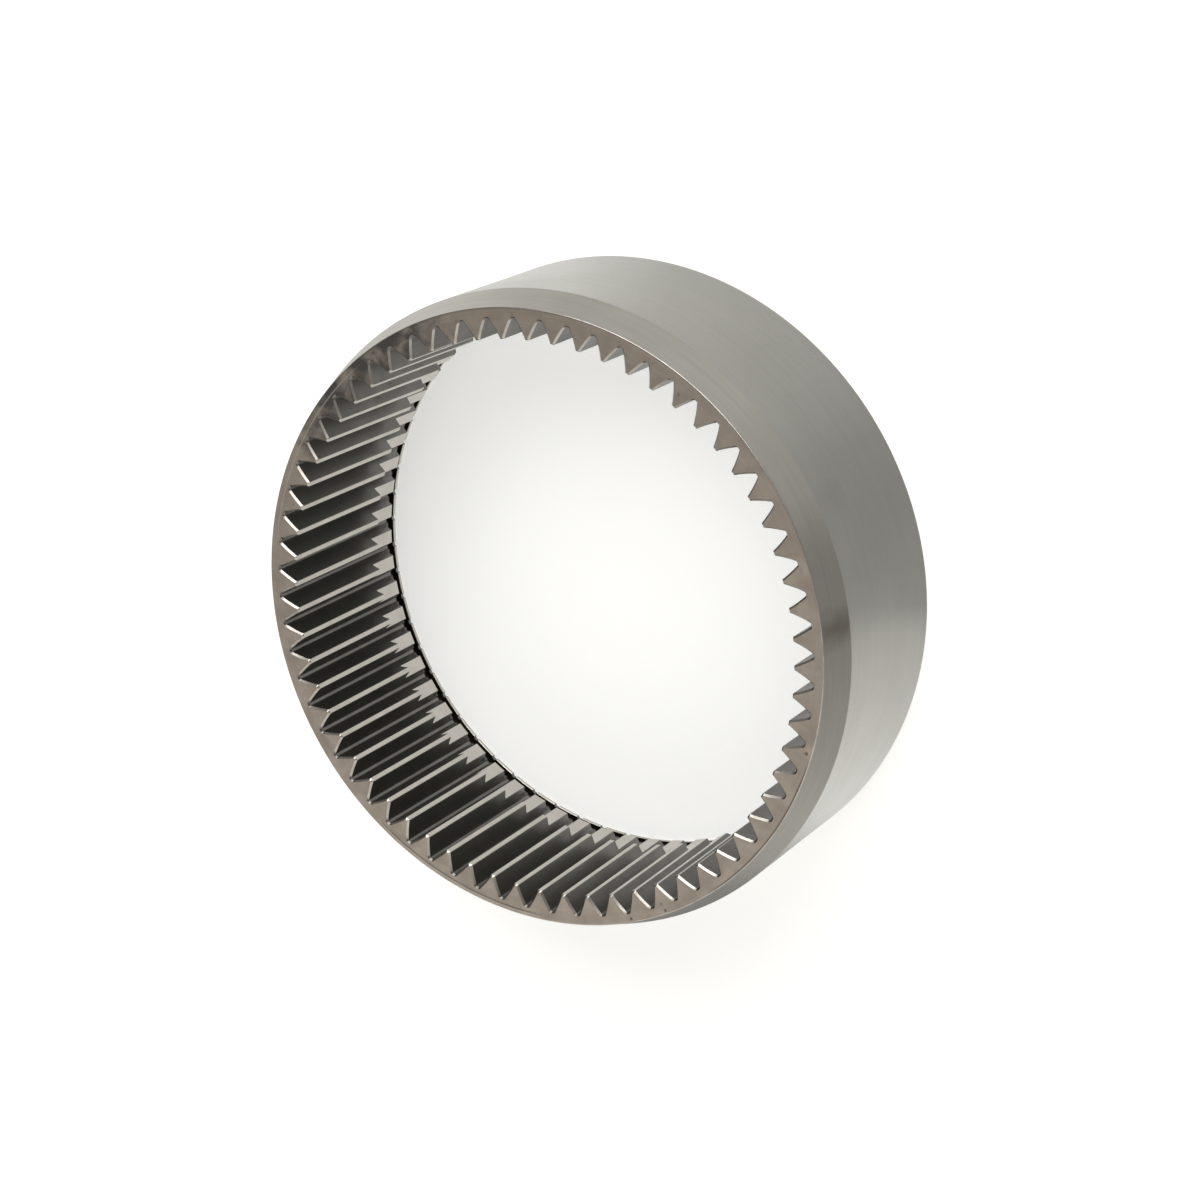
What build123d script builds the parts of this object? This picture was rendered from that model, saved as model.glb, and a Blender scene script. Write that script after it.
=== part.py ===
from build123d import *
import os
from math import acos, cos, pi, radians, sin, sqrt, tan

# Ring gear of a planetary reduction: a plain steel ring with internal spur teeth.
# It lies on its counterbored end. The axis is +Z and the lower end face is at Z = 0.
# Lengths are in millimetres and angles in degrees.

# Turned outside, with a long shallow taper that leads the ring into its housing
rim_thickness = 8.925
ring_width = 82.0
taper_length = 13.5
taper_angle = 19.2
back_chamfer = 0.5

# Involute teeth, moved outwards from the standard pitch line
tooth_count = 64
module = 3.5
pressure_angle = 25.0
profile_shift = 2.24
addendum = 4.04
dedendum = 3.835
mouth_chamfer = 0.5

# Lower end, where the tooth tips are turned down in two steps above a snap-ring groove
tooth_end_chamfer = 0.6
counterbore_depth = 3.77
counterbore_height = 23.2
recess_depth = 3.23
recess_height = 8.0
groove_depth = 2.8
groove_width = 4.1
lip_width = 1.7

# Cutters stand past the metal by the overrun, so that no two faces coincide.
overrun = 0.2
points_per_flank = 3

pitch_radius = tooth_count * module / 2
base_radius = pitch_radius * cos(radians(pressure_angle))
tip_radius = pitch_radius + profile_shift - addendum
root_radius = pitch_radius + profile_shift + dedendum
tooth_angle = 2 * pi / tooth_count

# Turned radii, each measured out from the cut inside it
outer_radius = root_radius + rim_thickness
counterbore_radius = tip_radius + counterbore_depth
recess_radius = counterbore_radius + recess_depth
groove_radius = recess_radius + groove_depth


def unwound_angle(radius):
    """Angle that an involute turns through between the base circle and this radius."""
    return sqrt((radius / base_radius) ** 2 - 1) - acos(base_radius / radius)


# Half the angle of a tooth space, with its flanks carried on to the base circle
space_width = pi * module / 2 + 2 * profile_shift * tan(radians(pressure_angle))
space_angle = space_width / (2 * pitch_radius) + unwound_angle(pitch_radius)


def at(radius, angle):
    return radius * cos(angle), radius * sin(angle)


def bore_outline(growth, height):
    """Toothed bore as a face, with every flank, tip and root moved out by growth."""
    tip = tip_radius + growth
    root = root_radius + growth
    half_space = space_angle + growth / base_radius
    step = (root - tip) / (points_per_flank - 1)
    radii = [tip + step * index for index in range(points_per_flank)]
    edges = []
    for tooth in range(tooth_count):
        middle = tooth * tooth_angle
        far_flank = [at(r, middle + half_space - unwound_angle(r)) for r in radii]
        near_flank = [at(r, middle - half_space + unwound_angle(r)) for r in radii]
        next_middle = middle + tooth_angle
        next_start = at(tip, next_middle - half_space + unwound_angle(tip))
        tip_middle = at(tip, middle + tooth_angle / 2)
        edges.append(Spline(*near_flank))
        edges.append(ThreePointArc(near_flank[-1], at(root, middle), far_flank[-1]))
        edges.append(Spline(*reversed(far_flank)))
        edges.append(ThreePointArc(far_flank[0], tip_middle, next_start))
    return Pos(0, 0, height) * make_face(Wire(edges))


# Half section on the XZ plane: solid to the axis above the counterbore, with the cone
# that chamfers the lower ends of the teeth carried on past their tips
taper_rise = taper_length * tan(radians(taper_angle))
groove_top = lip_width + groove_width
cone_top = counterbore_height + tooth_end_chamfer + overrun
half_section = Polyline(
    (recess_radius, 0),
    (outer_radius - back_chamfer, 0),
    (outer_radius, back_chamfer),
    (outer_radius, ring_width - taper_length),
    (outer_radius - taper_rise, ring_width),
    (0, ring_width),
    (0, cone_top),
    (tip_radius - overrun, cone_top),
    (tip_radius + tooth_end_chamfer, counterbore_height),
    (counterbore_radius, counterbore_height),
    (counterbore_radius, recess_height),
    (recess_radius, recess_height),
    (recess_radius, groove_top),
    (groove_radius, groove_top),
    (groove_radius, lip_width),
    (recess_radius, lip_width),
    close=True,
)
blank = revolve(Plane.XZ * make_face(half_section), Axis.Z)

# The toothed bore runs through the whole width and opens out with a chamfer at the top.
bore = extrude(bore_outline(0, -overrun), ring_width + 2 * overrun)
mouth_bottom = bore_outline(0, ring_width - mouth_chamfer)
mouth_top = bore_outline(mouth_chamfer + overrun, ring_width + overrun)
mouth = loft([mouth_bottom, mouth_top], ruled=True)
ring_gear = (blank - bore - mouth).solid()

os.makedirs("parts", exist_ok=True)
export_step(ring_gear, "parts/ring_gear.step")
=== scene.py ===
import math

import bpy
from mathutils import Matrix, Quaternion, Vector


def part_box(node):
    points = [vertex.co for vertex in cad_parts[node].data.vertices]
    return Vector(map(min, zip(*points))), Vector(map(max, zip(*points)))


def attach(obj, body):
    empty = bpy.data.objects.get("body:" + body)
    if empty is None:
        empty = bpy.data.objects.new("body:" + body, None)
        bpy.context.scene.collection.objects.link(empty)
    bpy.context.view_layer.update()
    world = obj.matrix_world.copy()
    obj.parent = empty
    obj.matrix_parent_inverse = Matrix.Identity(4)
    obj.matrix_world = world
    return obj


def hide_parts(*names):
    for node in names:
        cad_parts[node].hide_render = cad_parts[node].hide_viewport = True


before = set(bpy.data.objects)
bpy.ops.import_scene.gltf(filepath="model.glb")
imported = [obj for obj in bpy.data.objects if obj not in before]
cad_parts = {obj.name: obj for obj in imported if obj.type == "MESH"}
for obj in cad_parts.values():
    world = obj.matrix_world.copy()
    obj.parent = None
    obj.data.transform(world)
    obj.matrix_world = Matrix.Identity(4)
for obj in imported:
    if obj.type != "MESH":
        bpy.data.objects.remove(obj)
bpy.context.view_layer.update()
lowCorner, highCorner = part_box("ring_gear")
outerRadius = highCorner.x
ringWidth = highCorner.z - lowCorner.z
print("frame loaded, ring", round(2 * outerRadius, 4), "m across")


# A number that runs through a node tree, so that sizes are written with ordinary signs
class Amount:
    def __init__(self, tree, socket):
        self.tree = tree
        self.socket = socket

    def __add__(self, other):
        return mathStep(self.tree, "ADD", self, other)

    def __radd__(self, other):
        return mathStep(self.tree, "ADD", other, self)

    def __sub__(self, other):
        return mathStep(self.tree, "SUBTRACT", self, other)

    def __rsub__(self, other):
        return mathStep(self.tree, "SUBTRACT", other, self)

    def __mul__(self, other):
        return mathStep(self.tree, "MULTIPLY", self, other)

    def __rmul__(self, other):
        return mathStep(self.tree, "MULTIPLY", other, self)

    def __truediv__(self, other):
        return mathStep(self.tree, "DIVIDE", self, other)


def feed(tree, socket, value):
    if isinstance(value, Amount):
        tree.links.new(value.socket, socket)
    elif isinstance(value, bpy.types.NodeSocket):
        tree.links.new(value, socket)
    else:
        socket.default_value = value


def mathStep(tree, operation, *values):
    node = tree.nodes.new("ShaderNodeMath")
    node.operation = operation
    for socket, value in zip(node.inputs, values):
        feed(tree, socket, value)
    return Amount(tree, node.outputs[0])


def sine(angle):
    return mathStep(angle.tree, "SINE", angle)


def cosine(angle):
    return mathStep(angle.tree, "COSINE", angle)


def larger(first, second):
    return mathStep(first.tree, "MAXIMUM", first, second)


def held(value):
    # keeps a share between 0 and 1
    return mathStep(value.tree, "MAXIMUM", mathStep(value.tree, "MINIMUM", value, 1.0), 0.0)


def above(value, limit):
    return mathStep(value.tree, "GREATER_THAN", value, limit)


def addNode(tree, kind, inputs=None, **settings):
    node = tree.nodes.new(kind)
    for name, value in settings.items():
        setattr(node, name, value)
    for name, value in (inputs or {}).items():
        feed(tree, node.inputs[name], value)
    return node


def newTree(name, kind, inputs, outputs):
    tree = bpy.data.node_groups.new(name, kind)
    for socketName, socketType in inputs:
        tree.interface.new_socket(name=socketName, in_out="INPUT", socket_type=socketType)
    for socketName, socketType in outputs:
        tree.interface.new_socket(name=socketName, in_out="OUTPUT", socket_type=socketType)
    source = tree.nodes.new("NodeGroupInput")
    result = tree.nodes.new("NodeGroupOutput")
    return tree, source, result


floatType = "NodeSocketFloat"
vectorType = "NodeSocketVector"
geometryType = "NodeSocketGeometry"

# What a user would change on the ring, in metres and degrees
ring = {
    "Teeth": 64,
    "Module": 0.0035,
    "Pressure Angle": 25.0,
    "Profile Shift": 0.00224,
    "Addendum": 0.00404,
    "Dedendum": 0.003835,
    "Root Rounding": 0.0004,
    "Tip Rounding": 0.0003,
    "Mouth Chamfer": 0.0007,
    "Edge Break": 0.0002,
    "Outer Radius": outerRadius,
    "Ring Width": ringWidth,
    "Taper Length": 0.0135,
    "Taper Angle": 19.2,
    "Face Rounding": 0.0004,
    "Taper Rounding": 0.0012,
    "Back Chamfer": 0.0005,
    "Tooth End Chamfer": 0.0006,
    "Counterbore Depth": 0.00377,
    "Counterbore Height": 0.0232,
    "Recess Depth": 0.00323,
    "Recess Height": 0.008,
    "Groove Depth": 0.0028,
    "Groove Width": 0.0041,
    "Lip Width": 0.0017,
}

# How finely half a tooth space is cut up, from the root's middle to the tooth's middle
toothSteps = {
    "root": 1, "fillet": 2, "recess": 1, "counterbore": 3, "teeth": 4, "tip": 1, "rounding": 2, "land": 1
}
halfSteps = sum(toothSteps.values())
flankStart = toothSteps["root"] + toothSteps["fillet"]
counterboreStart = flankStart + toothSteps["recess"]
teethStart = counterboreStart + toothSteps["counterbore"]
tipStart = teethStart + toothSteps["teeth"]
flankEnd = tipStart + toothSteps["tip"]
roundingSteps = 3
seamDistance = 2e-6
sharpFrom = 33  # degrees between two faces

# Zones of the surface, each with its own finish
zones = {"wall": 1, "taper": 2, "face": 3, "tooth": 4, "bored": 5, "edge": 6, "groove": 7}
finishNames = {zone: zone.capitalize() + " Finish" for zone in zones}


# A station of the section: how near to the axis it reaches, and how the tooth outline changes there
stationInputs = [
    ("Outline", "NodeSocketString"),
    ("Reach", floatType),
    ("Growth", floatType),
    ("Growth Limit", floatType),
    ("Height", floatType),
]


def outlinePointTree():
    # moves a point of the tooth outline out by a growth, and no nearer to the axis than the reach
    tree, source, result = newTree(
        "outlinePoint",
        "GeometryNodeTree",
        stationInputs,
        [("Position", vectorType)],
    )
    place = addNode(
        tree, "GeometryNodeInputNamedAttribute", {"Name": source.outputs["Outline"]}, data_type="FLOAT_VECTOR"
    )
    facing = addNode(
        tree, "GeometryNodeInputNamedAttribute", {"Name": "outlineFacing"}, data_type="FLOAT_VECTOR"
    )
    distance = addNode(tree, "ShaderNodeVectorMath", {0: place.outputs["Attribute"]}, operation="LENGTH")
    inside = mathStep(tree, "LESS_THAN", distance.outputs["Value"], source.outputs["Growth Limit"])
    growth = inside * Amount(tree, source.outputs["Growth"])
    shift = addNode(
        tree, "ShaderNodeVectorMath", {0: facing.outputs["Attribute"], "Scale": growth}, operation="SCALE"
    )
    moved = addNode(tree, "ShaderNodeVectorMath", {0: place.outputs["Attribute"], 1: shift.outputs[0]})
    radius = addNode(tree, "ShaderNodeVectorMath", {0: moved.outputs[0]}, operation="LENGTH")
    stretch = larger(mathStep(tree, "DIVIDE", source.outputs["Reach"], radius.outputs["Value"]), 1.0)
    flat = addNode(tree, "ShaderNodeVectorMath", {0: moved.outputs[0], "Scale": stretch}, operation="SCALE")
    lift = addNode(tree, "ShaderNodeCombineXYZ", {"Z": source.outputs["Height"]})
    position = addNode(tree, "ShaderNodeVectorMath", {0: flat.outputs[0], 1: lift.outputs[0]})
    tree.links.new(position.outputs[0], result.inputs["Position"])
    return tree


def turnedStepTree(outlinePoint):
    # carries the last loop of edges on to the next station of the section
    tree, source, result = newTree(
        "turnedStep",
        "GeometryNodeTree",
        [("Geometry", geometryType), ("Loop", "NodeSocketBool"), *stationInputs, ("Zone", floatType)],
        [("Geometry", geometryType), ("Loop", "NodeSocketBool")],
    )
    point = addNode(tree, "GeometryNodeGroup", node_tree=outlinePoint)
    for name, socketType in stationInputs:
        tree.links.new(source.outputs[name], point.inputs[name])
    extrude = addNode(
        tree,
        "GeometryNodeExtrudeMesh",
        {"Mesh": source.outputs["Geometry"], "Selection": source.outputs["Loop"], "Offset Scale": 0.0},
        mode="EDGES",
    )
    placed = addNode(
        tree,
        "GeometryNodeSetPosition",
        {
            "Geometry": extrude.outputs["Mesh"],
            "Selection": extrude.outputs["Top"],
            "Position": point.outputs[0],
        },
    )
    marked = addNode(
        tree,
        "GeometryNodeStoreNamedAttribute",
        {
            "Geometry": placed.outputs["Geometry"],
            "Selection": extrude.outputs["Side"],
            "Name": "surfaceZone",
            "Value": source.outputs["Zone"],
        },
        data_type="FLOAT",
        domain="FACE",
    )
    tree.links.new(marked.outputs["Geometry"], result.inputs["Geometry"])
    tree.links.new(extrude.outputs["Top"], result.inputs["Loop"])
    return tree


def unwound(angle):
    # the involute's own angle at a pressure angle
    return mathStep(angle.tree, "TANGENT", angle) - angle


def pressureAt(baseRadius, radius):
    return mathStep(baseRadius.tree, "ARCCOSINE", baseRadius / radius)


def polarPoint(tree, radius, angle):
    parts = {"X": radius * cosine(angle), "Y": radius * sine(angle)}
    return addNode(tree, "ShaderNodeCombineXYZ", parts).outputs[0]


def chosen(tree, condition, otherwise, value, kind):
    node = addNode(tree, "GeometryNodeSwitch", input_type=kind)
    feed(tree, node.inputs["Switch"], condition)
    feed(tree, node.inputs["False"], otherwise)
    feed(tree, node.inputs["True"], value)
    return node.outputs[0]


def toothedRingTree():
    lengthNames = [name for name in ring if name != "Teeth"]
    tree, source, result = newTree(
        "toothedRing",
        "GeometryNodeTree",
        [("Geometry", geometryType), ("Teeth", "NodeSocketInt")]
        + [(name, floatType) for name in lengthNames]
        + [(name, "NodeSocketMaterial") for name in finishNames.values()],
        [("Geometry", geometryType)],
    )
    size = {name: Amount(tree, source.outputs[name]) for name in ring}
    toRadians = math.pi / 180

    # Gear circles
    pitchRadius = size["Teeth"] * size["Module"] * 0.5
    pressure = size["Pressure Angle"] * toRadians
    baseRadius = pitchRadius * cosine(pressure)
    tipRadius = pitchRadius + size["Profile Shift"] - size["Addendum"]
    rootRadius = pitchRadius + size["Profile Shift"] + size["Dedendum"]
    pitchAngle = mathStep(tree, "DIVIDE", 2 * math.pi, size["Teeth"])
    shiftAngle = size["Profile Shift"] * mathStep(tree, "TANGENT", pressure) / pitchRadius
    spaceAngle = pitchAngle * 0.25 + shiftAngle + unwound(pressure)

    # Turned circles
    counterboreRadius = tipRadius + size["Counterbore Depth"]
    recessRadius = counterboreRadius + size["Recess Depth"]
    grooveRadius = recessRadius + size["Groove Depth"]

    # Rounded corner between the root and the flank
    fillet = size["Root Rounding"]
    filletCentre = rootRadius - fillet
    filletPressure = pressureAt(baseRadius, filletCentre)
    filletAngle = spaceAngle - fillet / baseRadius - unwound(filletPressure)
    filletSweep = math.pi / 2 - filletPressure
    touchX = filletCentre + fillet * cosine(filletSweep)
    touchY = fillet * sine(filletSweep)
    flankRoot = mathStep(tree, "SQRT", touchX * touchX + touchY * touchY)

    # Rounded corner between the flank and the tip
    rounding = size["Tip Rounding"]
    cornerRadius = tipRadius + rounding
    cornerPressure = pressureAt(baseRadius, cornerRadius)
    cornerAngle = spaceAngle + rounding / baseRadius - unwound(cornerPressure)
    cornerTurn = math.pi / 2 - cornerPressure
    endX = cornerRadius - rounding * cosine(cornerTurn)
    endY = rounding * sine(cornerTurn)
    flankTip = mathStep(tree, "SQRT", endX * endX + endY * endY)

    # Place along the outline: 0 in the middle of the root, halfSteps in the middle of the tooth
    index = addNode(tree, "GeometryNodeInputIndex").outputs[0]
    signedStep = mathStep(tree, "SUBTRACT", index, halfSteps)
    step = mathStep(tree, "ABSOLUTE", signedStep)
    side = mathStep(tree, "SIGN", signedStep)

    rootTurn = filletAngle * held(step * (1 / toothSteps["root"]))
    filletShare = held((step - toothSteps["root"]) * (1 / toothSteps["fillet"]))
    filletTurn = filletAngle + filletSweep * filletShare
    filletPoint = addNode(
        tree,
        "ShaderNodeVectorMath",
        {0: polarPoint(tree, filletCentre, filletAngle), 1: polarPoint(tree, fillet, filletTurn)},
        operation="ADD",
    ).outputs[0]

    endConeRadius = tipRadius + size["Tooth End Chamfer"]
    recessShare = held((step - flankStart) * (1 / toothSteps["recess"]))
    counterboreShare = held((step - counterboreStart) * (1 / toothSteps["counterbore"]))
    teethShare = held((step - teethStart) * (1 / toothSteps["teeth"]))
    tipShare = held((step - tipStart) * (1 / toothSteps["tip"]))
    flankRadius = (
        flankRoot
        + (recessRadius - flankRoot) * recessShare
        + (counterboreRadius - recessRadius) * counterboreShare
        + (endConeRadius - counterboreRadius) * teethShare
        + (flankTip - endConeRadius) * tipShare
    )
    flankPressure = pressureAt(baseRadius, flankRadius)
    flankAngle = spaceAngle - unwound(flankPressure)
    flankPoint = polarPoint(tree, flankRadius, flankAngle)
    flankTurn = flankAngle + math.pi / 2 - flankPressure

    roundingShare = held((step - flankEnd) * (1 / toothSteps["rounding"]))
    roundingTurn = cornerAngle + cornerTurn * (1.0 - roundingShare)
    roundingPoint = addNode(
        tree,
        "ShaderNodeVectorMath",
        {0: polarPoint(tree, cornerRadius, cornerAngle), 1: polarPoint(tree, rounding, roundingTurn)},
        operation="SUBTRACT",
    ).outputs[0]

    landShare = held((step - flankEnd - toothSteps["rounding"]) * (1 / toothSteps["land"]))
    landTurn = cornerAngle + (pitchAngle * 0.5 - cornerAngle) * landShare
    landPoint = polarPoint(tree, tipRadius, landTurn)

    # Each stretch of the half outline takes over from the one before it
    onRounding = above(step, flankEnd)
    onLand = above(step, flankEnd + toothSteps["rounding"])
    halfPoint = polarPoint(tree, rootRadius, rootTurn)
    halfTurn = rootTurn
    for begun, stretchPoint, stretchTurn in [
        (above(step, toothSteps["root"]), filletPoint, filletTurn),
        (above(step, flankStart), flankPoint, flankTurn),
        (onRounding, roundingPoint, roundingTurn),
        (onLand, landPoint, landTurn),
    ]:
        halfPoint = chosen(tree, begun, halfPoint, stretchPoint, "VECTOR")
        halfTurn = chosen(tree, begun, halfTurn, stretchTurn, "FLOAT")
    halfTurn = Amount(tree, halfTurn)
    halfFacing = polarPoint(tree, mathStep(tree, "ADD", 1.0, 0.0), halfTurn)

    # The second half of the space is the first one mirrored
    mirror = addNode(tree, "ShaderNodeCombineXYZ", {"X": 1.0, "Y": side, "Z": 1.0}).outputs[0]
    point, facing = (
        addNode(tree, "ShaderNodeVectorMath", {0: half, 1: mirror}, operation="MULTIPLY").outputs[0]
        for half in (halfPoint, halfFacing)
    )

    # Outline at the mouth, grown by the chamfer, where the rounded corners run out to sharp ones
    chamfer = size["Mouth Chamfer"]
    mouthTip = tipRadius + chamfer
    mouthAngle = spaceAngle + chamfer / baseRadius - unwound(pressureAt(baseRadius, mouthTip))
    mouthCorner = addNode(
        tree,
        "ShaderNodeVectorMath",
        {0: polarPoint(tree, mouthTip, mouthAngle), 1: mirror},
        operation="MULTIPLY",
    ).outputs[0]
    shift = addNode(tree, "ShaderNodeVectorMath", {0: facing, "Scale": chamfer}, operation="SCALE").outputs[0]
    grown = addNode(tree, "ShaderNodeVectorMath", {0: point, 1: shift}, operation="ADD").outputs[0]
    grownRadius = addNode(tree, "ShaderNodeVectorMath", {0: grown}, operation="LENGTH").outputs["Value"]
    pastCorner = larger(mathStep(tree, "LESS_THAN", grownRadius, mouthTip), onRounding)
    mouthPoint = chosen(tree, pastCorner, grown, mouthCorner, "VECTOR")
    mouthPoint = chosen(tree, onLand, mouthPoint, grown, "VECTOR")

    line = addNode(tree, "GeometryNodeMeshLine", {"Count": 2 * halfSteps + 1}, mode="OFFSET")
    geometry = line.outputs["Mesh"]
    for name, value, kind in [
        ("outlinePlace", point, "FLOAT_VECTOR"),
        ("outlineFacing", facing, "FLOAT_VECTOR"),
        ("mouthPlace", mouthPoint, "FLOAT_VECTOR"),
        ("outlineStep", step, "FLOAT"),
    ]:
        store = addNode(
            tree,
            "GeometryNodeStoreNamedAttribute",
            {"Geometry": geometry, "Name": name, "Value": value},
            data_type=kind,
            domain="POINT",
        )
        geometry = store.outputs["Geometry"]

    # Section of the ring as stations: (reach, growth, growth limit, height, zone of the surface before it)
    width = size["Ring Width"]
    outside = size["Outer Radius"]
    edge = size["Edge Break"]
    lip = size["Lip Width"]
    grooveTop = lip + size["Groove Width"]
    recessTop = size["Recess Height"]
    counterboreTop = size["Counterbore Height"]
    backChamfer = size["Back Chamfer"]
    taperAngle = size["Taper Angle"] * toRadians
    taperFoot = width - size["Taper Length"]
    faceRadius = outside - size["Taper Length"] * mathStep(tree, "TANGENT", taperAngle)
    always = outside * 2

    none = edge * 0
    tooth = "outlinePlace"
    mouth = "mouthPlace"
    stations = [
        (tooth, recessRadius + edge, edge, always, none, "edge"),
        (tooth, recessRadius, none, always, edge, "edge"),
        (tooth, recessRadius, none, always, lip - edge, "bored"),
        (tooth, recessRadius + edge, none, always, lip, "edge"),
        (tooth, grooveRadius, none, always, lip, "groove"),
        (tooth, grooveRadius, none, always, grooveTop, "groove"),
        (tooth, recessRadius, none, always, grooveTop, "groove"),
        (tooth, recessRadius, none, always, recessTop, "groove"),
        (tooth, counterboreRadius + edge, edge, recessRadius, recessTop, "groove"),
        (tooth, counterboreRadius, none, always, recessTop + edge, "edge"),
        (tooth, counterboreRadius, none, always, counterboreTop, "bored"),
        (tooth, endConeRadius, edge, counterboreRadius, counterboreTop, "bored"),
        (tooth, endConeRadius - edge, none, always, counterboreTop + edge, "edge"),
        (tooth, tipRadius, none, always, counterboreTop + size["Tooth End Chamfer"], "edge"),
        (tooth, tipRadius, none, always, width - chamfer, "tooth"),
        (mouth, mouthTip, none, always, width, "edge"),
    ]

    # Two roundings of the outside, each between two slopes given as angles from the face
    rightAngle = none + math.pi / 2
    taperSlope = rightAngle - taperAngle
    faceBend, taperBend = size["Face Rounding"], size["Taper Rounding"]
    corners = [
        (faceRadius, width, none, taperSlope, faceBend, mouth, ("face", "edge", "taper")),
        (outside, taperFoot, taperSlope, rightAngle, taperBend, tooth, ("taper", "taper", "wall")),
    ]
    for cornerX, cornerZ, slopeBefore, slopeAfter, bend, outline, bendZones in corners:
        zoneBefore, zoneBend, zoneAfter = bendZones
        back = bend * mathStep(tree, "TANGENT", (slopeAfter - slopeBefore) * 0.5)
        centreX = cornerX - back * cosine(slopeBefore) - bend * sine(slopeBefore)
        centreZ = cornerZ + back * sine(slopeBefore) - bend * cosine(slopeBefore)
        supportX = cornerX - (back + bend) * cosine(slopeBefore)
        supportZ = cornerZ + (back + bend) * sine(slopeBefore)
        stations.append((outline, supportX, none, always, supportZ, zoneBefore))
        for part in range(roundingSteps + 1):
            slope = slopeBefore + (slopeAfter - slopeBefore) * (part / roundingSteps)
            zone = zoneBend if part else zoneBefore
            bendX = centreX + bend * sine(slope)
            bendZ = centreZ + bend * cosine(slope)
            stations.append((tooth, bendX, none, always, bendZ, zone))
        supportX = cornerX + (back + bend) * cosine(slopeAfter)
        supportZ = cornerZ - (back + bend) * sine(slopeAfter)
        stations.append((tooth, supportX, none, always, supportZ, zoneAfter))
    stations += [
        (tooth, outside, none, always, backChamfer, "wall"),
        (tooth, outside - backChamfer, none, always, none, "edge"),
        (tooth, recessRadius + edge, edge, always, none, "face"),
    ]

    outlinePoint = outlinePointTree()
    turnedStep = turnedStepTree(outlinePoint)
    stationNames = [name for name, socketType in stationInputs]
    firstPoint = addNode(tree, "GeometryNodeGroup", node_tree=outlinePoint)
    for name, value in zip(stationNames, stations[0]):
        feed(tree, firstPoint.inputs[name], value)
    placed = {"Geometry": geometry, "Position": firstPoint.outputs[0]}
    start = addNode(tree, "GeometryNodeSetPosition", placed)
    geometry = start.outputs["Geometry"]
    loop = None
    for *values, zone in stations[1:]:
        turned = addNode(tree, "GeometryNodeGroup", node_tree=turnedStep)
        feed(tree, turned.inputs["Geometry"], geometry)
        feed(tree, turned.inputs["Loop"], True if loop is None else loop)
        for name, value in zip(stationNames, values):
            feed(tree, turned.inputs[name], value)
        turned.inputs["Zone"].default_value = zones[zone]
        geometry = turned.outputs["Geometry"]
        loop = turned.outputs["Loop"]

    # One sector for each tooth space, set round the axis and sewn together
    spots = addNode(tree, "GeometryNodeMeshLine", {"Count": source.outputs["Teeth"], "Offset": (0, 0, 0)})
    spin = addNode(tree, "ShaderNodeCombineXYZ", {"Z": Amount(tree, index) * pitchAngle})
    turn = addNode(tree, "FunctionNodeEulerToRotation", {"Euler": spin.outputs[0]})
    copies = addNode(
        tree,
        "GeometryNodeInstanceOnPoints",
        {"Points": spots.outputs["Mesh"], "Instance": geometry, "Rotation": turn.outputs[0]},
    )
    realized = addNode(tree, "GeometryNodeRealizeInstances", {"Geometry": copies.outputs["Instances"]})
    sewn = addNode(
        tree,
        "GeometryNodeMergeByDistance",
        {"Geometry": realized.outputs["Geometry"], "Distance": seamDistance},
    )
    sewnMesh = {"Geometry": sewn.outputs["Geometry"]}
    smooth = addNode(tree, "GeometryNodeSetShadeSmooth", sewnMesh, domain="FACE")
    edgeAngle = addNode(tree, "GeometryNodeInputMeshEdgeAngle")
    sharpEdge = mathStep(tree, "GREATER_THAN", edgeAngle.outputs["Unsigned Angle"], math.radians(sharpFrom))
    sharp = addNode(
        tree,
        "GeometryNodeSetShadeSmooth",
        {"Geometry": smooth.outputs["Geometry"], "Selection": sharpEdge, "Shade Smooth": False},
        domain="EDGE",
    )
    geometry = sharp.outputs["Geometry"]

    # Flanks and roots in the tooth spaces get the dark tooth finish, which is painted shade in the spaces,
    # and what was turned inside them stays bright
    zoneNumber, stepNumber = (
        addNode(tree, "GeometryNodeInputNamedAttribute", {"Name": name}).outputs["Attribute"]
        for name in ("surfaceZone", "outlineStep")
    )
    normal = addNode(tree, "GeometryNodeInputNormal").outputs[0]
    place = addNode(tree, "GeometryNodeInputPosition").outputs[0]
    outwards = addNode(
        tree, "ShaderNodeVectorMath", {0: place, 1: (1, 1, 0)}, operation="MULTIPLY"
    ).outputs[0]
    distance = addNode(tree, "ShaderNodeVectorMath", {0: outwards}, operation="LENGTH").outputs["Value"]
    radial = addNode(tree, "ShaderNodeVectorMath", {0: outwards}, operation="NORMALIZE").outputs[0]
    facing = addNode(
        tree, "ShaderNodeVectorMath", {0: radial, 1: normal}, operation="DOT_PRODUCT"
    ).outputs["Value"]
    rise = addNode(tree, "ShaderNodeSeparateXYZ", {0: normal}).outputs["Z"]
    beside = mathStep(tree, "GREATER_THAN", facing, -0.9)  # a land faces the axis, a flank doesn't
    onFlank = beside * mathStep(tree, "LESS_THAN", stepNumber, flankEnd)
    inRoot = mathStep(tree, "LESS_THAN", stepNumber, flankStart + 0.4)
    upright = mathStep(tree, "LESS_THAN", mathStep(tree, "ABSOLUTE", rise), 0.3)
    withinBore = mathStep(tree, "LESS_THAN", distance, rootRadius + edge)
    inSpace = larger(onFlank, inRoot) * upright * withinBore
    inZone = {zone: mathStep(tree, "COMPARE", zoneNumber, number, 0.1) for zone, number in zones.items()}
    paint = [(selection, zone) for zone, selection in inZone.items()]
    paint += [(inZone["tooth"], "bored"), (inSpace, "tooth")]
    for selection, zone in paint:
        painted = addNode(
            tree,
            "GeometryNodeSetMaterial",
            {"Geometry": geometry, "Selection": selection, "Material": source.outputs[finishNames[zone]]},
        )
        geometry = painted.outputs["Geometry"]
    tree.links.new(geometry, result.inputs["Geometry"])
    return tree


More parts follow.
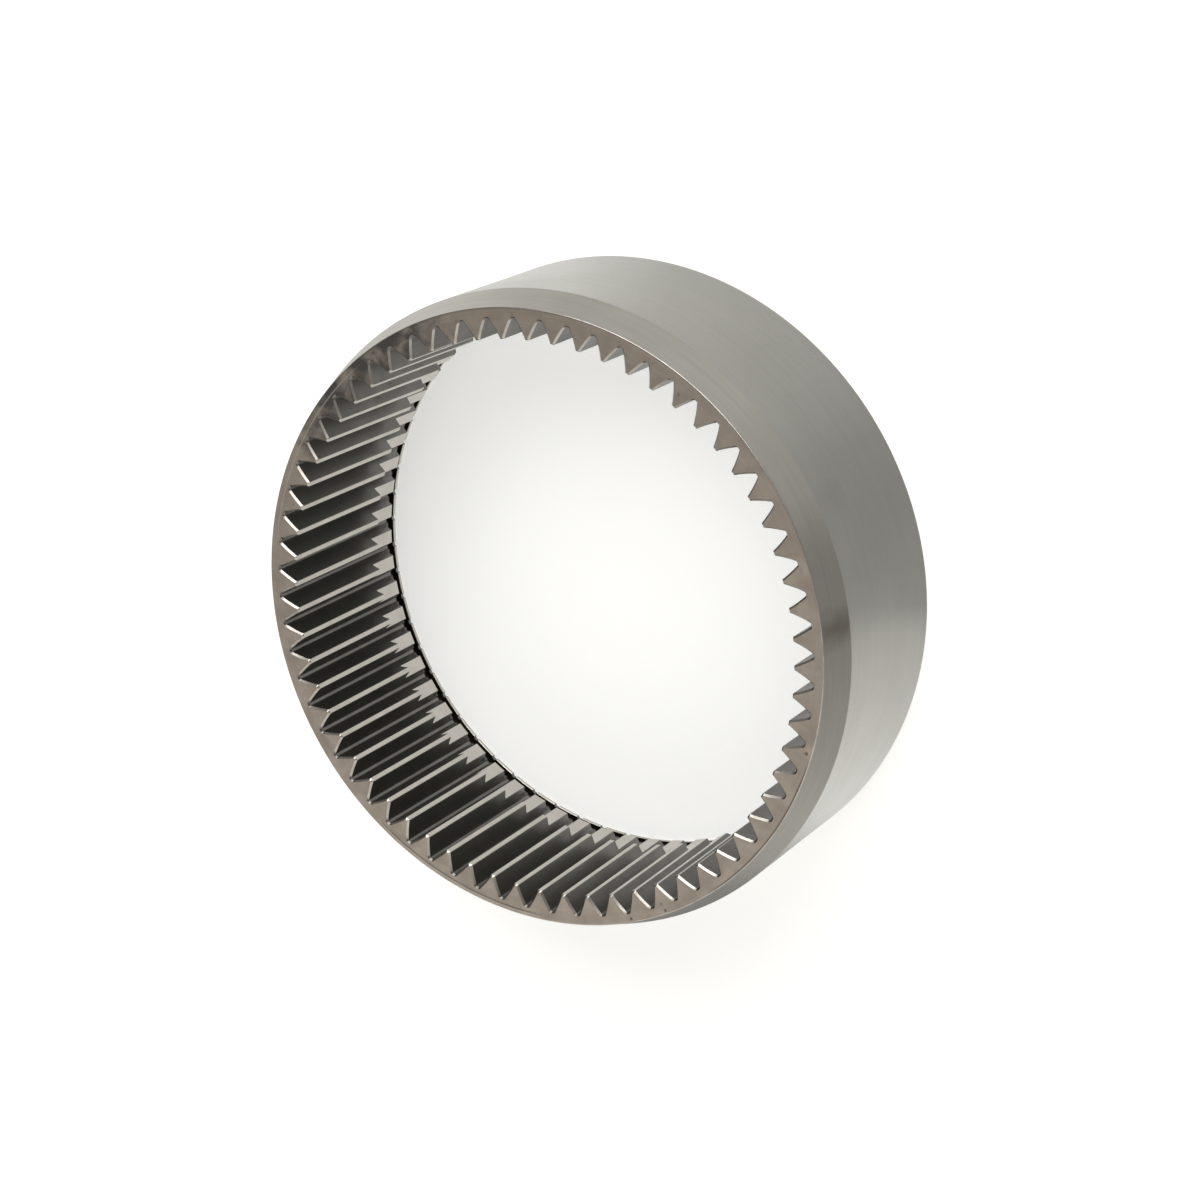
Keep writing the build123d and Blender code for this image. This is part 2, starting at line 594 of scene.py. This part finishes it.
def buildRing(finishes):
    tree = toothedRingTree()
    seed = bpy.data.objects.new("ringSeed", bpy.data.meshes.new("ringSeed"))
    bpy.context.scene.collection.objects.link(seed)
    modifier = seed.modifiers.new("toothedRing", "NODES")
    modifier.node_group = tree
    values = {**ring, **{finishNames[zone]: material for zone, material in finishes.items()}}
    for item in tree.interface.items_tree:
        if item.in_out == "INPUT" and item.name in values:
            modifier[item.identifier] = values[item.name]
    evaluated = seed.evaluated_get(bpy.context.evaluated_depsgraph_get())
    mesh = bpy.data.meshes.new_from_object(evaluated)
    mesh.name = "ringGear"
    bpy.data.objects.remove(seed)
    piece = bpy.data.objects.new("ringGear", mesh)
    bpy.context.scene.collection.objects.link(piece)
    for name in ("outlinePlace", "outlineFacing", "mouthPlace", "outlineStep"):
        mesh.attributes.remove(mesh.attributes[name])
    print("ring made:", len(mesh.polygons), "faces")
    return piece


def turningMarksTree():
    # fine lines that run round the axis, on a wall, a taper or a face
    tree, source, result = newTree(
        "turningMarks",
        "ShaderNodeTree",
        [("Fineness", floatType), ("Drag", floatType), ("Contrast", floatType)],
        [("Marks", floatType)],
    )
    place = addNode(tree, "ShaderNodeTexCoord").outputs["Object"]
    parts = addNode(tree, "ShaderNodeSeparateXYZ", {0: place})
    x, y, z = (Amount(tree, parts.outputs[name]) for name in "XYZ")
    radius = mathStep(tree, "SQRT", x * x + y * y)
    drag = Amount(tree, source.outputs["Drag"])
    across = (radius + z) * Amount(tree, source.outputs["Fineness"])
    stretched = addNode(tree, "ShaderNodeCombineXYZ", {"X": x * drag, "Y": y * drag, "Z": across})
    noise = addNode(
        tree,
        "ShaderNodeTexNoise",
        {"Vector": stretched.outputs[0], "Scale": 1.0, "Detail": 3.0, "Roughness": 0.6},
    )
    marks = (Amount(tree, noise.outputs["Fac"]) - 0.5) * Amount(tree, source.outputs["Contrast"]) + 0.5
    feed(tree, result.inputs["Marks"], held(marks))
    return tree


def cloudingTree():
    # soft blotches of handling and oil
    tree, source, result = newTree(
        "clouding",
        "ShaderNodeTree",
        [("Scale", floatType), ("Detail", floatType), ("Contrast", floatType)],
        [("Cloud", floatType)],
    )
    place = addNode(tree, "ShaderNodeTexCoord").outputs["Object"]
    noise = addNode(
        tree,
        "ShaderNodeTexNoise",
        {
            "Vector": place,
            "Scale": source.outputs["Scale"],
            "Detail": source.outputs["Detail"],
            "Roughness": 0.55,
            "Distortion": 0.4,
        },
    )
    centred = Amount(tree, noise.outputs["Fac"]) - 0.5
    feed(tree, result.inputs["Cloud"], held(centred * Amount(tree, source.outputs["Contrast"]) + 0.5))
    return tree


def patchTree():
    # one smudge with a ragged border, at a place on the surface
    tree, source, result = newTree(
        "patch",
        "ShaderNodeTree",
        [("Place", vectorType), ("Stretch", vectorType), ("Reach", floatType), ("Border", floatType)],
        [("Patch", floatType)],
    )
    place = addNode(tree, "ShaderNodeTexCoord").outputs["Object"]
    ragged = addNode(tree, "ShaderNodeTexNoise", {"Vector": place, "Scale": 140.0, "Detail": 3.0})
    away = addNode(tree, "ShaderNodeVectorMath", {0: place, 1: source.outputs["Place"]}, operation="SUBTRACT")
    scaled = addNode(
        tree, "ShaderNodeVectorMath", {0: away.outputs[0], 1: source.outputs["Stretch"]}, operation="MULTIPLY"
    )
    distance = addNode(
        tree, "ShaderNodeVectorMath", {0: scaled.outputs[0]}, operation="LENGTH"
    ).outputs["Value"]
    reach = Amount(tree, source.outputs["Reach"])
    wander = (Amount(tree, ragged.outputs["Fac"]) - 0.5) * reach * 0.9
    inside = (reach - Amount(tree, distance) + wander) / Amount(tree, source.outputs["Border"])
    feed(tree, result.inputs["Patch"], held(inside))
    return tree


def specksTree():
    # small dark pits, a few to the square centimetre
    tree, source, result = newTree(
        "specks",
        "ShaderNodeTree",
        [("Scale", floatType), ("Share", floatType)],
        [("Specks", floatType)],
    )
    place = addNode(tree, "ShaderNodeTexCoord").outputs["Object"]
    cells = addNode(tree, "ShaderNodeTexVoronoi", {"Vector": place, "Scale": source.outputs["Scale"]})
    lot = addNode(tree, "ShaderNodeSeparateColor", {0: cells.outputs["Color"]}).outputs[0]
    picked = mathStep(tree, "LESS_THAN", lot, source.outputs["Share"])
    inside = held((0.22 - Amount(tree, cells.outputs["Distance"])) * 8.0)
    feed(tree, result.inputs["Specks"], picked * inside)
    return tree


def roundLineTree():
    # a thin line round the axis that fades out at both ends
    tree, source, result = newTree(
        "roundLine",
        "ShaderNodeTree",
        [("Toward", vectorType), ("Spread", floatType), ("Radius", floatType), ("Width", floatType)],
        [("Line", floatType)],
    )
    place = addNode(tree, "ShaderNodeTexCoord").outputs["Object"]
    flat = addNode(
        tree, "ShaderNodeVectorMath", {0: place, 1: (1.0, 1.0, 0.0)}, operation="MULTIPLY"
    ).outputs[0]
    side = addNode(tree, "ShaderNodeVectorMath", {0: flat}, operation="NORMALIZE").outputs[0]
    facing = addNode(
        tree, "ShaderNodeVectorMath", {0: side, 1: source.outputs["Toward"]}, operation="DOT_PRODUCT"
    )
    length = addNode(tree, "ShaderNodeVectorMath", {0: flat}, operation="LENGTH")
    radius = Amount(tree, length.outputs["Value"])
    spread = Amount(tree, source.outputs["Spread"])
    ends = held((Amount(tree, facing.outputs["Value"]) - 1.0 + spread) / (spread * 0.4))
    away = mathStep(tree, "ABSOLUTE", radius - Amount(tree, source.outputs["Radius"]))
    across = held(1.5 - away / Amount(tree, source.outputs["Width"]) * 2.0)
    feed(tree, result.inputs["Line"], ends * across)
    return tree


effects = {
    "roundLine": roundLineTree(),
    "marks": turningMarksTree(),
    "cloud": cloudingTree(),
    "patch": patchTree(),
    "specks": specksTree(),
}


def useEffect(tree, name, **values):
    node = addNode(tree, "ShaderNodeGroup", node_tree=effects[name])
    for socketName, value in values.items():
        feed(tree, node.inputs[socketName], value)
    return Amount(tree, node.outputs[0])


def mixColor(tree, share, first, second):
    node = addNode(tree, "ShaderNodeMix", data_type="RGBA")
    feed(tree, node.inputs["Factor"], share)
    colorInputs = [socket for socket in node.inputs if socket.type == "RGBA"]
    feed(tree, colorInputs[0], first)
    feed(tree, colorInputs[1], second)
    return [socket for socket in node.outputs if socket.type == "RGBA"][0]


def newMetal(name):
    material = bpy.data.materials.new(name)
    material.use_nodes = True
    tree = material.node_tree
    shader = tree.nodes["Principled BSDF"]
    shader.inputs["Metallic"].default_value = 1.0
    return material, tree, shader


def finishMetal(tree, shader, color, roughness, height, depth):
    feed(tree, shader.inputs["Base Color"], color)
    feed(tree, shader.inputs["Roughness"], roughness)
    bump = addNode(tree, "ShaderNodeBump", {"Height": height, "Distance": depth, "Strength": 1.0})
    tree.links.new(bump.outputs[0], shader.inputs["Normal"])


def ringPlace(angle, radius, height):
    # a point on the ring, from its angle in degrees
    turn = math.radians(angle)
    return (radius * math.cos(turn), radius * math.sin(turn), height)


wall = {
    "color": (0.70, 0.685, 0.63, 1),
    "darkColor": (0.56, 0.545, 0.495, 1),
    "roughness": 0.21,
    "smudgePlace": ringPlace(19, outerRadius, ringWidth - 0.026),
}


def groundSteel():
    material, tree, shader = newMetal("groundSteel")
    marks = useEffect(tree, "marks", Fineness=2600.0, Drag=14.0, Contrast=1.6)
    broad = useEffect(tree, "marks", Fineness=260.0, Drag=9.0, Contrast=1.5)
    cloud = useEffect(tree, "cloud", Scale=26.0, Detail=4.0, Contrast=1.8)
    smudge = useEffect(
        tree, "patch", Place=wall["smudgePlace"], Stretch=(1.0, 1.0, 0.6), Reach=0.008, Border=0.01
    )
    shade = held(marks * 0.25 + broad * 0.3 + cloud * 0.35 + smudge * 0.5)
    color = mixColor(tree, shade, wall["color"], wall["darkColor"])
    roughness = cloud * 0.08 + marks * 0.05 + wall["roughness"]
    finishMetal(tree, shader, color, roughness, marks, 0.000012)
    return material


taper = {
    "color": (0.54, 0.52, 0.47, 1),
    "darkColor": (0.40, 0.38, 0.335, 1),
    "brownPatchColor": (0.20, 0.17, 0.135, 1),
    "brownPatchPlace": ringPlace(-1.5, outerRadius - 0.0022, ringWidth - 0.0067),
}


def taperSteel():
    material, tree, shader = newMetal("turnedTaperSteel")
    marks = useEffect(tree, "marks", Fineness=1500.0, Drag=30.0, Contrast=1.8)
    cloud = useEffect(tree, "cloud", Scale=34.0, Detail=4.0, Contrast=1.8)
    # A dark brown patch on the taper round -1.5 degrees
    brownPatch = useEffect(
        tree, "patch", Place=taper["brownPatchPlace"], Stretch=(0.6, 1.0, 0.35), Reach=0.009, Border=0.01
    )
    shade = held(marks * 0.45 + cloud * 0.4)
    color = mixColor(tree, shade, taper["color"], taper["darkColor"])
    color = mixColor(tree, brownPatch * 0.75, color, taper["brownPatchColor"])
    finishMetal(tree, shader, color, cloud * 0.08 + 0.27, marks, 0.00002)
    return material


# Spots are (angle, radius), and lines are (angle of the middle, spread, radius, width)
face = {
    "color": (0.50, 0.435, 0.37, 1),
    "darkColor": (0.33, 0.28, 0.235, 1),
    "speckColor": (0.10, 0.085, 0.075, 1),
    "darkPatchColor": (0.11, 0.105, 0.10, 1),
    "darkPatchPlace": ringPlace(122, 0.118, ringWidth),
    "paleColor": (0.58, 0.53, 0.47, 1),
    "spots": [(281.6, 0.1208), (289.4, 0.1208), (336.0, 0.1200)],
    "darkLines": [(317, 0.05, 0.1217, 0.0006), (243, 0.06, 0.1203, 0.0005)],
    "paleLines": [(243, 0.06, 0.1212, 0.0005), (142, 0.07, 0.1198, 0.0005)],
}


def faceLines(tree, lines):
    drawn = None
    for angle, spread, radius, width in lines:
        toward = ringPlace(angle, 1.0, 0.0)
        line = useEffect(tree, "roundLine", Toward=toward, Spread=spread, Radius=radius, Width=width)
        drawn = line if drawn is None else larger(drawn, line)
    return drawn


def faceSteel():
    material, tree, shader = newMetal("turnedFaceSteel")
    marks = useEffect(tree, "marks", Fineness=1900.0, Drag=22.0, Contrast=1.7)
    broad = useEffect(tree, "marks", Fineness=420.0, Drag=10.0, Contrast=1.6)
    cloud = useEffect(tree, "cloud", Scale=110.0, Detail=5.0, Contrast=3.2)
    specks = useEffect(tree, "specks", Scale=260.0, Share=0.08)
    shade = held(marks * 0.25 + broad * 0.25 + cloud * 0.5)
    color = mixColor(tree, shade, face["color"], face["darkColor"])
    # A broad dark mottled patch on the face round 122 degrees
    darkPatch = useEffect(
        tree, "patch", Place=face["darkPatchPlace"], Stretch=(1.0, 1.0, 1.0), Reach=0.05, Border=0.02
    )
    color = mixColor(tree, darkPatch * held(cloud * 1.1 + 0.15), color, face["darkPatchColor"])
    color = mixColor(tree, specks * 0.5, color, face["speckColor"])
    for angle, radius in face["spots"]:
        place = ringPlace(angle, radius, ringWidth)
        spot = useEffect(
            tree, "patch", Place=place, Stretch=(1.0, 1.0, 1.0), Reach=0.0008, Border=0.0004
        )
        color = mixColor(tree, spot * 0.8, color, face["speckColor"])
    color = mixColor(tree, faceLines(tree, face["darkLines"]) * 0.7, color, face["speckColor"])
    color = mixColor(tree, faceLines(tree, face["paleLines"]) * 0.6, color, face["paleColor"])
    finishMetal(tree, shader, color, cloud * 0.1 + 0.3, marks, 0.00002)
    return material


bored = {"color": (0.55, 0.525, 0.48, 1), "darkColor": (0.38, 0.355, 0.315, 1)}


def boredSteel():
    material, tree, shader = newMetal("boredSteel")
    marks = useEffect(tree, "marks", Fineness=1800.0, Drag=40.0, Contrast=1.6)
    cloud = useEffect(tree, "cloud", Scale=120.0, Detail=4.0, Contrast=1.8)
    color = mixColor(tree, held(marks * 0.4 + cloud * 0.4), bored["color"], bored["darkColor"])
    finishMetal(tree, shader, color, cloud * 0.1 + 0.28, marks, 0.00002)
    return material


# Painted shade: the dark colour of the flanks and roots stands in for the shade in the tooth spaces; the
# strokes along the teeth are cutting marks
tooth = {"color": (0.20, 0.19, 0.175, 1), "darkColor": (0.11, 0.105, 0.10, 1)}


def toothSteel():
    material, tree, shader = newMetal("shadedToothSteel")
    place = addNode(tree, "ShaderNodeTexCoord").outputs["Object"]
    stretched = addNode(tree, "ShaderNodeMapping", {"Vector": place, "Scale": (1400.0, 1400.0, 30.0)})
    strokes = addNode(
        tree, "ShaderNodeTexNoise", {"Vector": stretched.outputs[0], "Scale": 1.0, "Detail": 3.0}
    ).outputs["Fac"]
    strokes = Amount(tree, strokes)
    cloud = useEffect(tree, "cloud", Scale=90.0, Detail=4.0, Contrast=1.8)
    color = mixColor(tree, held(strokes * 0.5 + cloud * 0.4), tooth["color"], tooth["darkColor"])
    finishMetal(tree, shader, color, cloud * 0.12 + 0.34, strokes, 0.000015)
    return material


# Painted shade: the groove and the recess above it get a near-black colour for the shade that falls in them
groove = {"color": (0.12, 0.11, 0.095, 1), "darkColor": (0.05, 0.045, 0.04, 1)}


def grooveSteel():
    material, tree, shader = newMetal("shadedGrooveSteel")
    marks = useEffect(tree, "marks", Fineness=1500.0, Drag=40.0, Contrast=1.6)
    cloud = useEffect(tree, "cloud", Scale=120.0, Detail=4.0, Contrast=1.8)
    color = mixColor(tree, held(marks * 0.4 + cloud * 0.4), groove["color"], groove["darkColor"])
    finishMetal(tree, shader, color, cloud * 0.1 + 0.38, marks, 0.00002)
    return material


edgeTone = {
    "color": (0.62, 0.59, 0.54, 1),
    "darkColor": (0.42, 0.39, 0.35, 1),
    "rootShadeColor": (0.10, 0.09, 0.08, 1),
    "rootRadius": 0.1184,
}


def edgeSteel():
    material, tree, shader = newMetal("brokenEdgeSteel")
    cloud = useEffect(tree, "cloud", Scale=160.0, Detail=4.0, Contrast=2.2)
    color = mixColor(tree, cloud, edgeTone["color"], edgeTone["darkColor"])
    # Painted shade in the corners of the roots, alike all round
    rootCornerShade = useEffect(
        tree, "roundLine", Toward=(0.0, 0.0, 0.0), Spread=2.0, Radius=edgeTone["rootRadius"], Width=0.0016
    )
    color = mixColor(tree, rootCornerShade * 0.75, color, edgeTone["rootShadeColor"])
    finishMetal(tree, shader, color, cloud * 0.1 + 0.26, cloud, 0.00002)
    return material


finishes = {
    "wall": groundSteel(),
    "taper": taperSteel(),
    "face": faceSteel(),
    "tooth": toothSteel(),
    "bored": boredSteel(),
    "edge": edgeSteel(),
    "groove": grooveSteel(),
}
ringPiece = buildRing(finishes)
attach(ringPiece, "root")
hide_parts("ring_gear")

# Camera, in the ring's own frame
view = {
    "place": (0.58479, 0.25958, 0.96350),
    "target": (0.03143, 0.00958, 0.08200),
    "roll": -118.798,
    "focalLength": 85.831,
    "sensorWidth": 36.0,
}


def placeCamera():
    data = bpy.data.cameras.new("photoCamera")
    data.lens = view["focalLength"]
    data.sensor_width = view["sensorWidth"]
    camera = bpy.data.objects.new("photoCamera", data)
    bpy.context.scene.collection.objects.link(camera)
    sight = Vector(view["target"]) - Vector(view["place"])
    roll = Quaternion((0, 0, 1), math.radians(view["roll"]))
    camera.location = view["place"]
    camera.rotation_mode = "QUATERNION"
    camera.rotation_quaternion = sight.to_track_quat("-Z", "Y") @ roll
    bpy.context.scene.camera = camera
    print("camera placed")


placeCamera()

# Studio: a white floor, a soft room that is dark on the camera's side, and one large lamp
studio = {
    "floorSize": 6.0,
    "floorColor": (0.95, 0.95, 0.93, 1),
    "floorRoughness": 0.9,
    "whiteColor": (1.0, 1.0, 0.985, 1),
    "cameraGlow": 0.48,
    "farStart": 0.17,
    "farBlend": 0.04,
    "roomColor": (1.0, 0.985, 0.955, 1),
    "roomDark": 0.18,
    "roomBright": 0.95,
    "brightSide": (-0.1, -0.99, 0.05),
    "brightFrom": 0.55,
}

# How bright the floor looks in the metal, by the angle round the ring in degrees: inside the
# bore, close to the wall and farther out
floorMirrors = {
    "bore": [(-180, 1.0), (-60, 1.0), (-40, 0.85), (20, 0.85), (60, 1.0), (180, 1.0)],
    "close": [
        (-180, 0.25), (-78, 0.25), (-70, 0.36), (-62, 0.7), (-54, 0.9), (-45, 0.88), (-33, 0.77),
        (-22, 0.66), (-13, 0.58), (-7, 0.4), (0, 0.363), (13, 0.335), (25, 0.357), (37, 0.445),
        (50, 0.5), (72, 0.59), (85, 0.7), (95, 0.84), (110, 0.9), (122, 0.8), (180, 0.8),
    ],
    "far": [
        (-180, 0.3), (-80, 0.43), (-69, 0.62), (-58, 0.7), (-47, 0.6), (-36, 0.5), (-24, 0.45),
        (-10, 0.36), (8, 0.38), (20, 0.54), (32, 0.64), (45, 0.76), (73, 0.72), (96, 0.74),
        (108, 0.85), (119, 1.0), (180, 1.0),
    ],
}

lamps = {
    "keyLamp": {"angle": 74, "height": 38, "distance": 1.7, "size": 1.6, "power": 22.0},
}


def levelCurve(tree, turn, stops):
    curve = addNode(tree, "ShaderNodeFloatCurve", {"Value": turn})
    points = curve.mapping.curves[0].points
    for number, (degrees, level) in enumerate(stops):
        spot = (degrees / 360 + 0.5, level)
        if number < 2:
            points[number].location = spot
        else:
            points.new(*spot)
    for point in points:
        point.handle_type = "VECTOR"
    curve.mapping.update()
    return Amount(tree, curve.outputs[0])


def floorPlace(tree):
    # Angle round the ring as a share of a turn, and distance from the axis
    place = addNode(tree, "ShaderNodeTexCoord").outputs["Object"]
    parts = addNode(tree, "ShaderNodeSeparateXYZ", {0: place})
    angle = mathStep(tree, "ARCTAN2", parts.outputs["Y"], parts.outputs["X"])
    distance = addNode(tree, "ShaderNodeVectorMath", {0: place}, operation="LENGTH").outputs["Value"]
    return angle * (0.5 / math.pi) + 0.5, Amount(tree, distance)


def floorMirrorLevel(tree, turn, distance):
    levels = {name: levelCurve(tree, turn, stops) for name, stops in floorMirrors.items()}
    outside = above(distance, outerRadius)
    farShare = held((distance - studio["farStart"]) / studio["farBlend"])
    outer = levels["close"] + (levels["far"] - levels["close"]) * farShare
    return levels["bore"] + (outer - levels["bore"]) * outside


def layFloor():
    half = studio["floorSize"] / 2
    mesh = bpy.data.meshes.new("floor")
    corners = [(-half, -half, 0), (half, -half, 0), (half, half, 0), (-half, half, 0)]
    mesh.from_pydata(corners, [], [(0, 1, 2, 3)])
    floor = bpy.data.objects.new("floor", mesh)
    bpy.context.scene.collection.objects.link(floor)
    material = bpy.data.materials.new("studioFloor")
    material.use_nodes = True
    tree = material.node_tree
    shader = tree.nodes["Principled BSDF"]
    output = tree.nodes["Material Output"]
    shader.inputs["Base Color"].default_value = studio["floorColor"]
    shader.inputs["Roughness"].default_value = studio["floorRoughness"]
    rays = addNode(tree, "ShaderNodeLightPath").outputs
    seen = held(Amount(tree, rays["Is Camera Ray"]) + Amount(tree, rays["Is Transmission Ray"]))
    # The lit floor keeps the ring's shadow, and a glow on top of it brings the rest up to white
    white = {"Color": studio["whiteColor"], "Strength": seen * studio["cameraGlow"]}
    glow = addNode(tree, "ShaderNodeEmission", white)
    lit = addNode(tree, "ShaderNodeAddShader", {0: shader.outputs[0], 1: glow.outputs[0]})
    turn, distance = floorPlace(tree)
    mirrored = {"Color": studio["whiteColor"], "Strength": floorMirrorLevel(tree, turn, distance)}
    image = addNode(tree, "ShaderNodeEmission", mirrored)
    shown = {0: rays["Is Glossy Ray"], 1: lit.outputs[0], 2: image.outputs[0]}
    mix = addNode(tree, "ShaderNodeMixShader", shown)
    tree.links.new(mix.outputs[0], output.inputs["Surface"])
    mesh.materials.append(material)


def lightRoom():
    world = bpy.data.worlds.new("studioRoom")
    world.use_nodes = True
    bpy.context.scene.world = world
    tree = world.node_tree
    background = tree.nodes["Background"]
    background.inputs["Color"].default_value = studio["roomColor"]
    direction = addNode(tree, "ShaderNodeTexCoord").outputs["Generated"]
    toBright = addNode(
        tree, "ShaderNodeVectorMath", {0: direction, 1: studio["brightSide"]}, operation="DOT_PRODUCT"
    ).outputs["Value"]
    ramp = addNode(
        tree,
        "ShaderNodeMapRange",
        {
            "Value": toBright,
            "From Min": 0.0,
            "From Max": studio["brightFrom"],
            "To Min": studio["roomDark"],
            "To Max": studio["roomBright"],
        },
        interpolation_type="SMOOTHSTEP",
    )
    tree.links.new(ramp.outputs[0], background.inputs["Strength"])
    for name, lamp in lamps.items():
        data = bpy.data.lights.new(name, "AREA")
        data.energy = lamp["power"]
        data.size = lamp["size"]
        light = bpy.data.objects.new(name, data)
        bpy.context.scene.collection.objects.link(light)
        rise = math.radians(lamp["height"])
        flat = lamp["distance"] * math.cos(rise)
        light.location = ringPlace(lamp["angle"], flat, lamp["distance"] * math.sin(rise))
        aim = Vector((0, 0, ringWidth / 2)) - light.location
        light.rotation_mode = "QUATERNION"
        light.rotation_quaternion = aim.to_track_quat("-Z", "Y")
    print("studio lit")


layFloor()
lightRoom()
bpy.context.scene.view_settings.view_transform = "Standard"
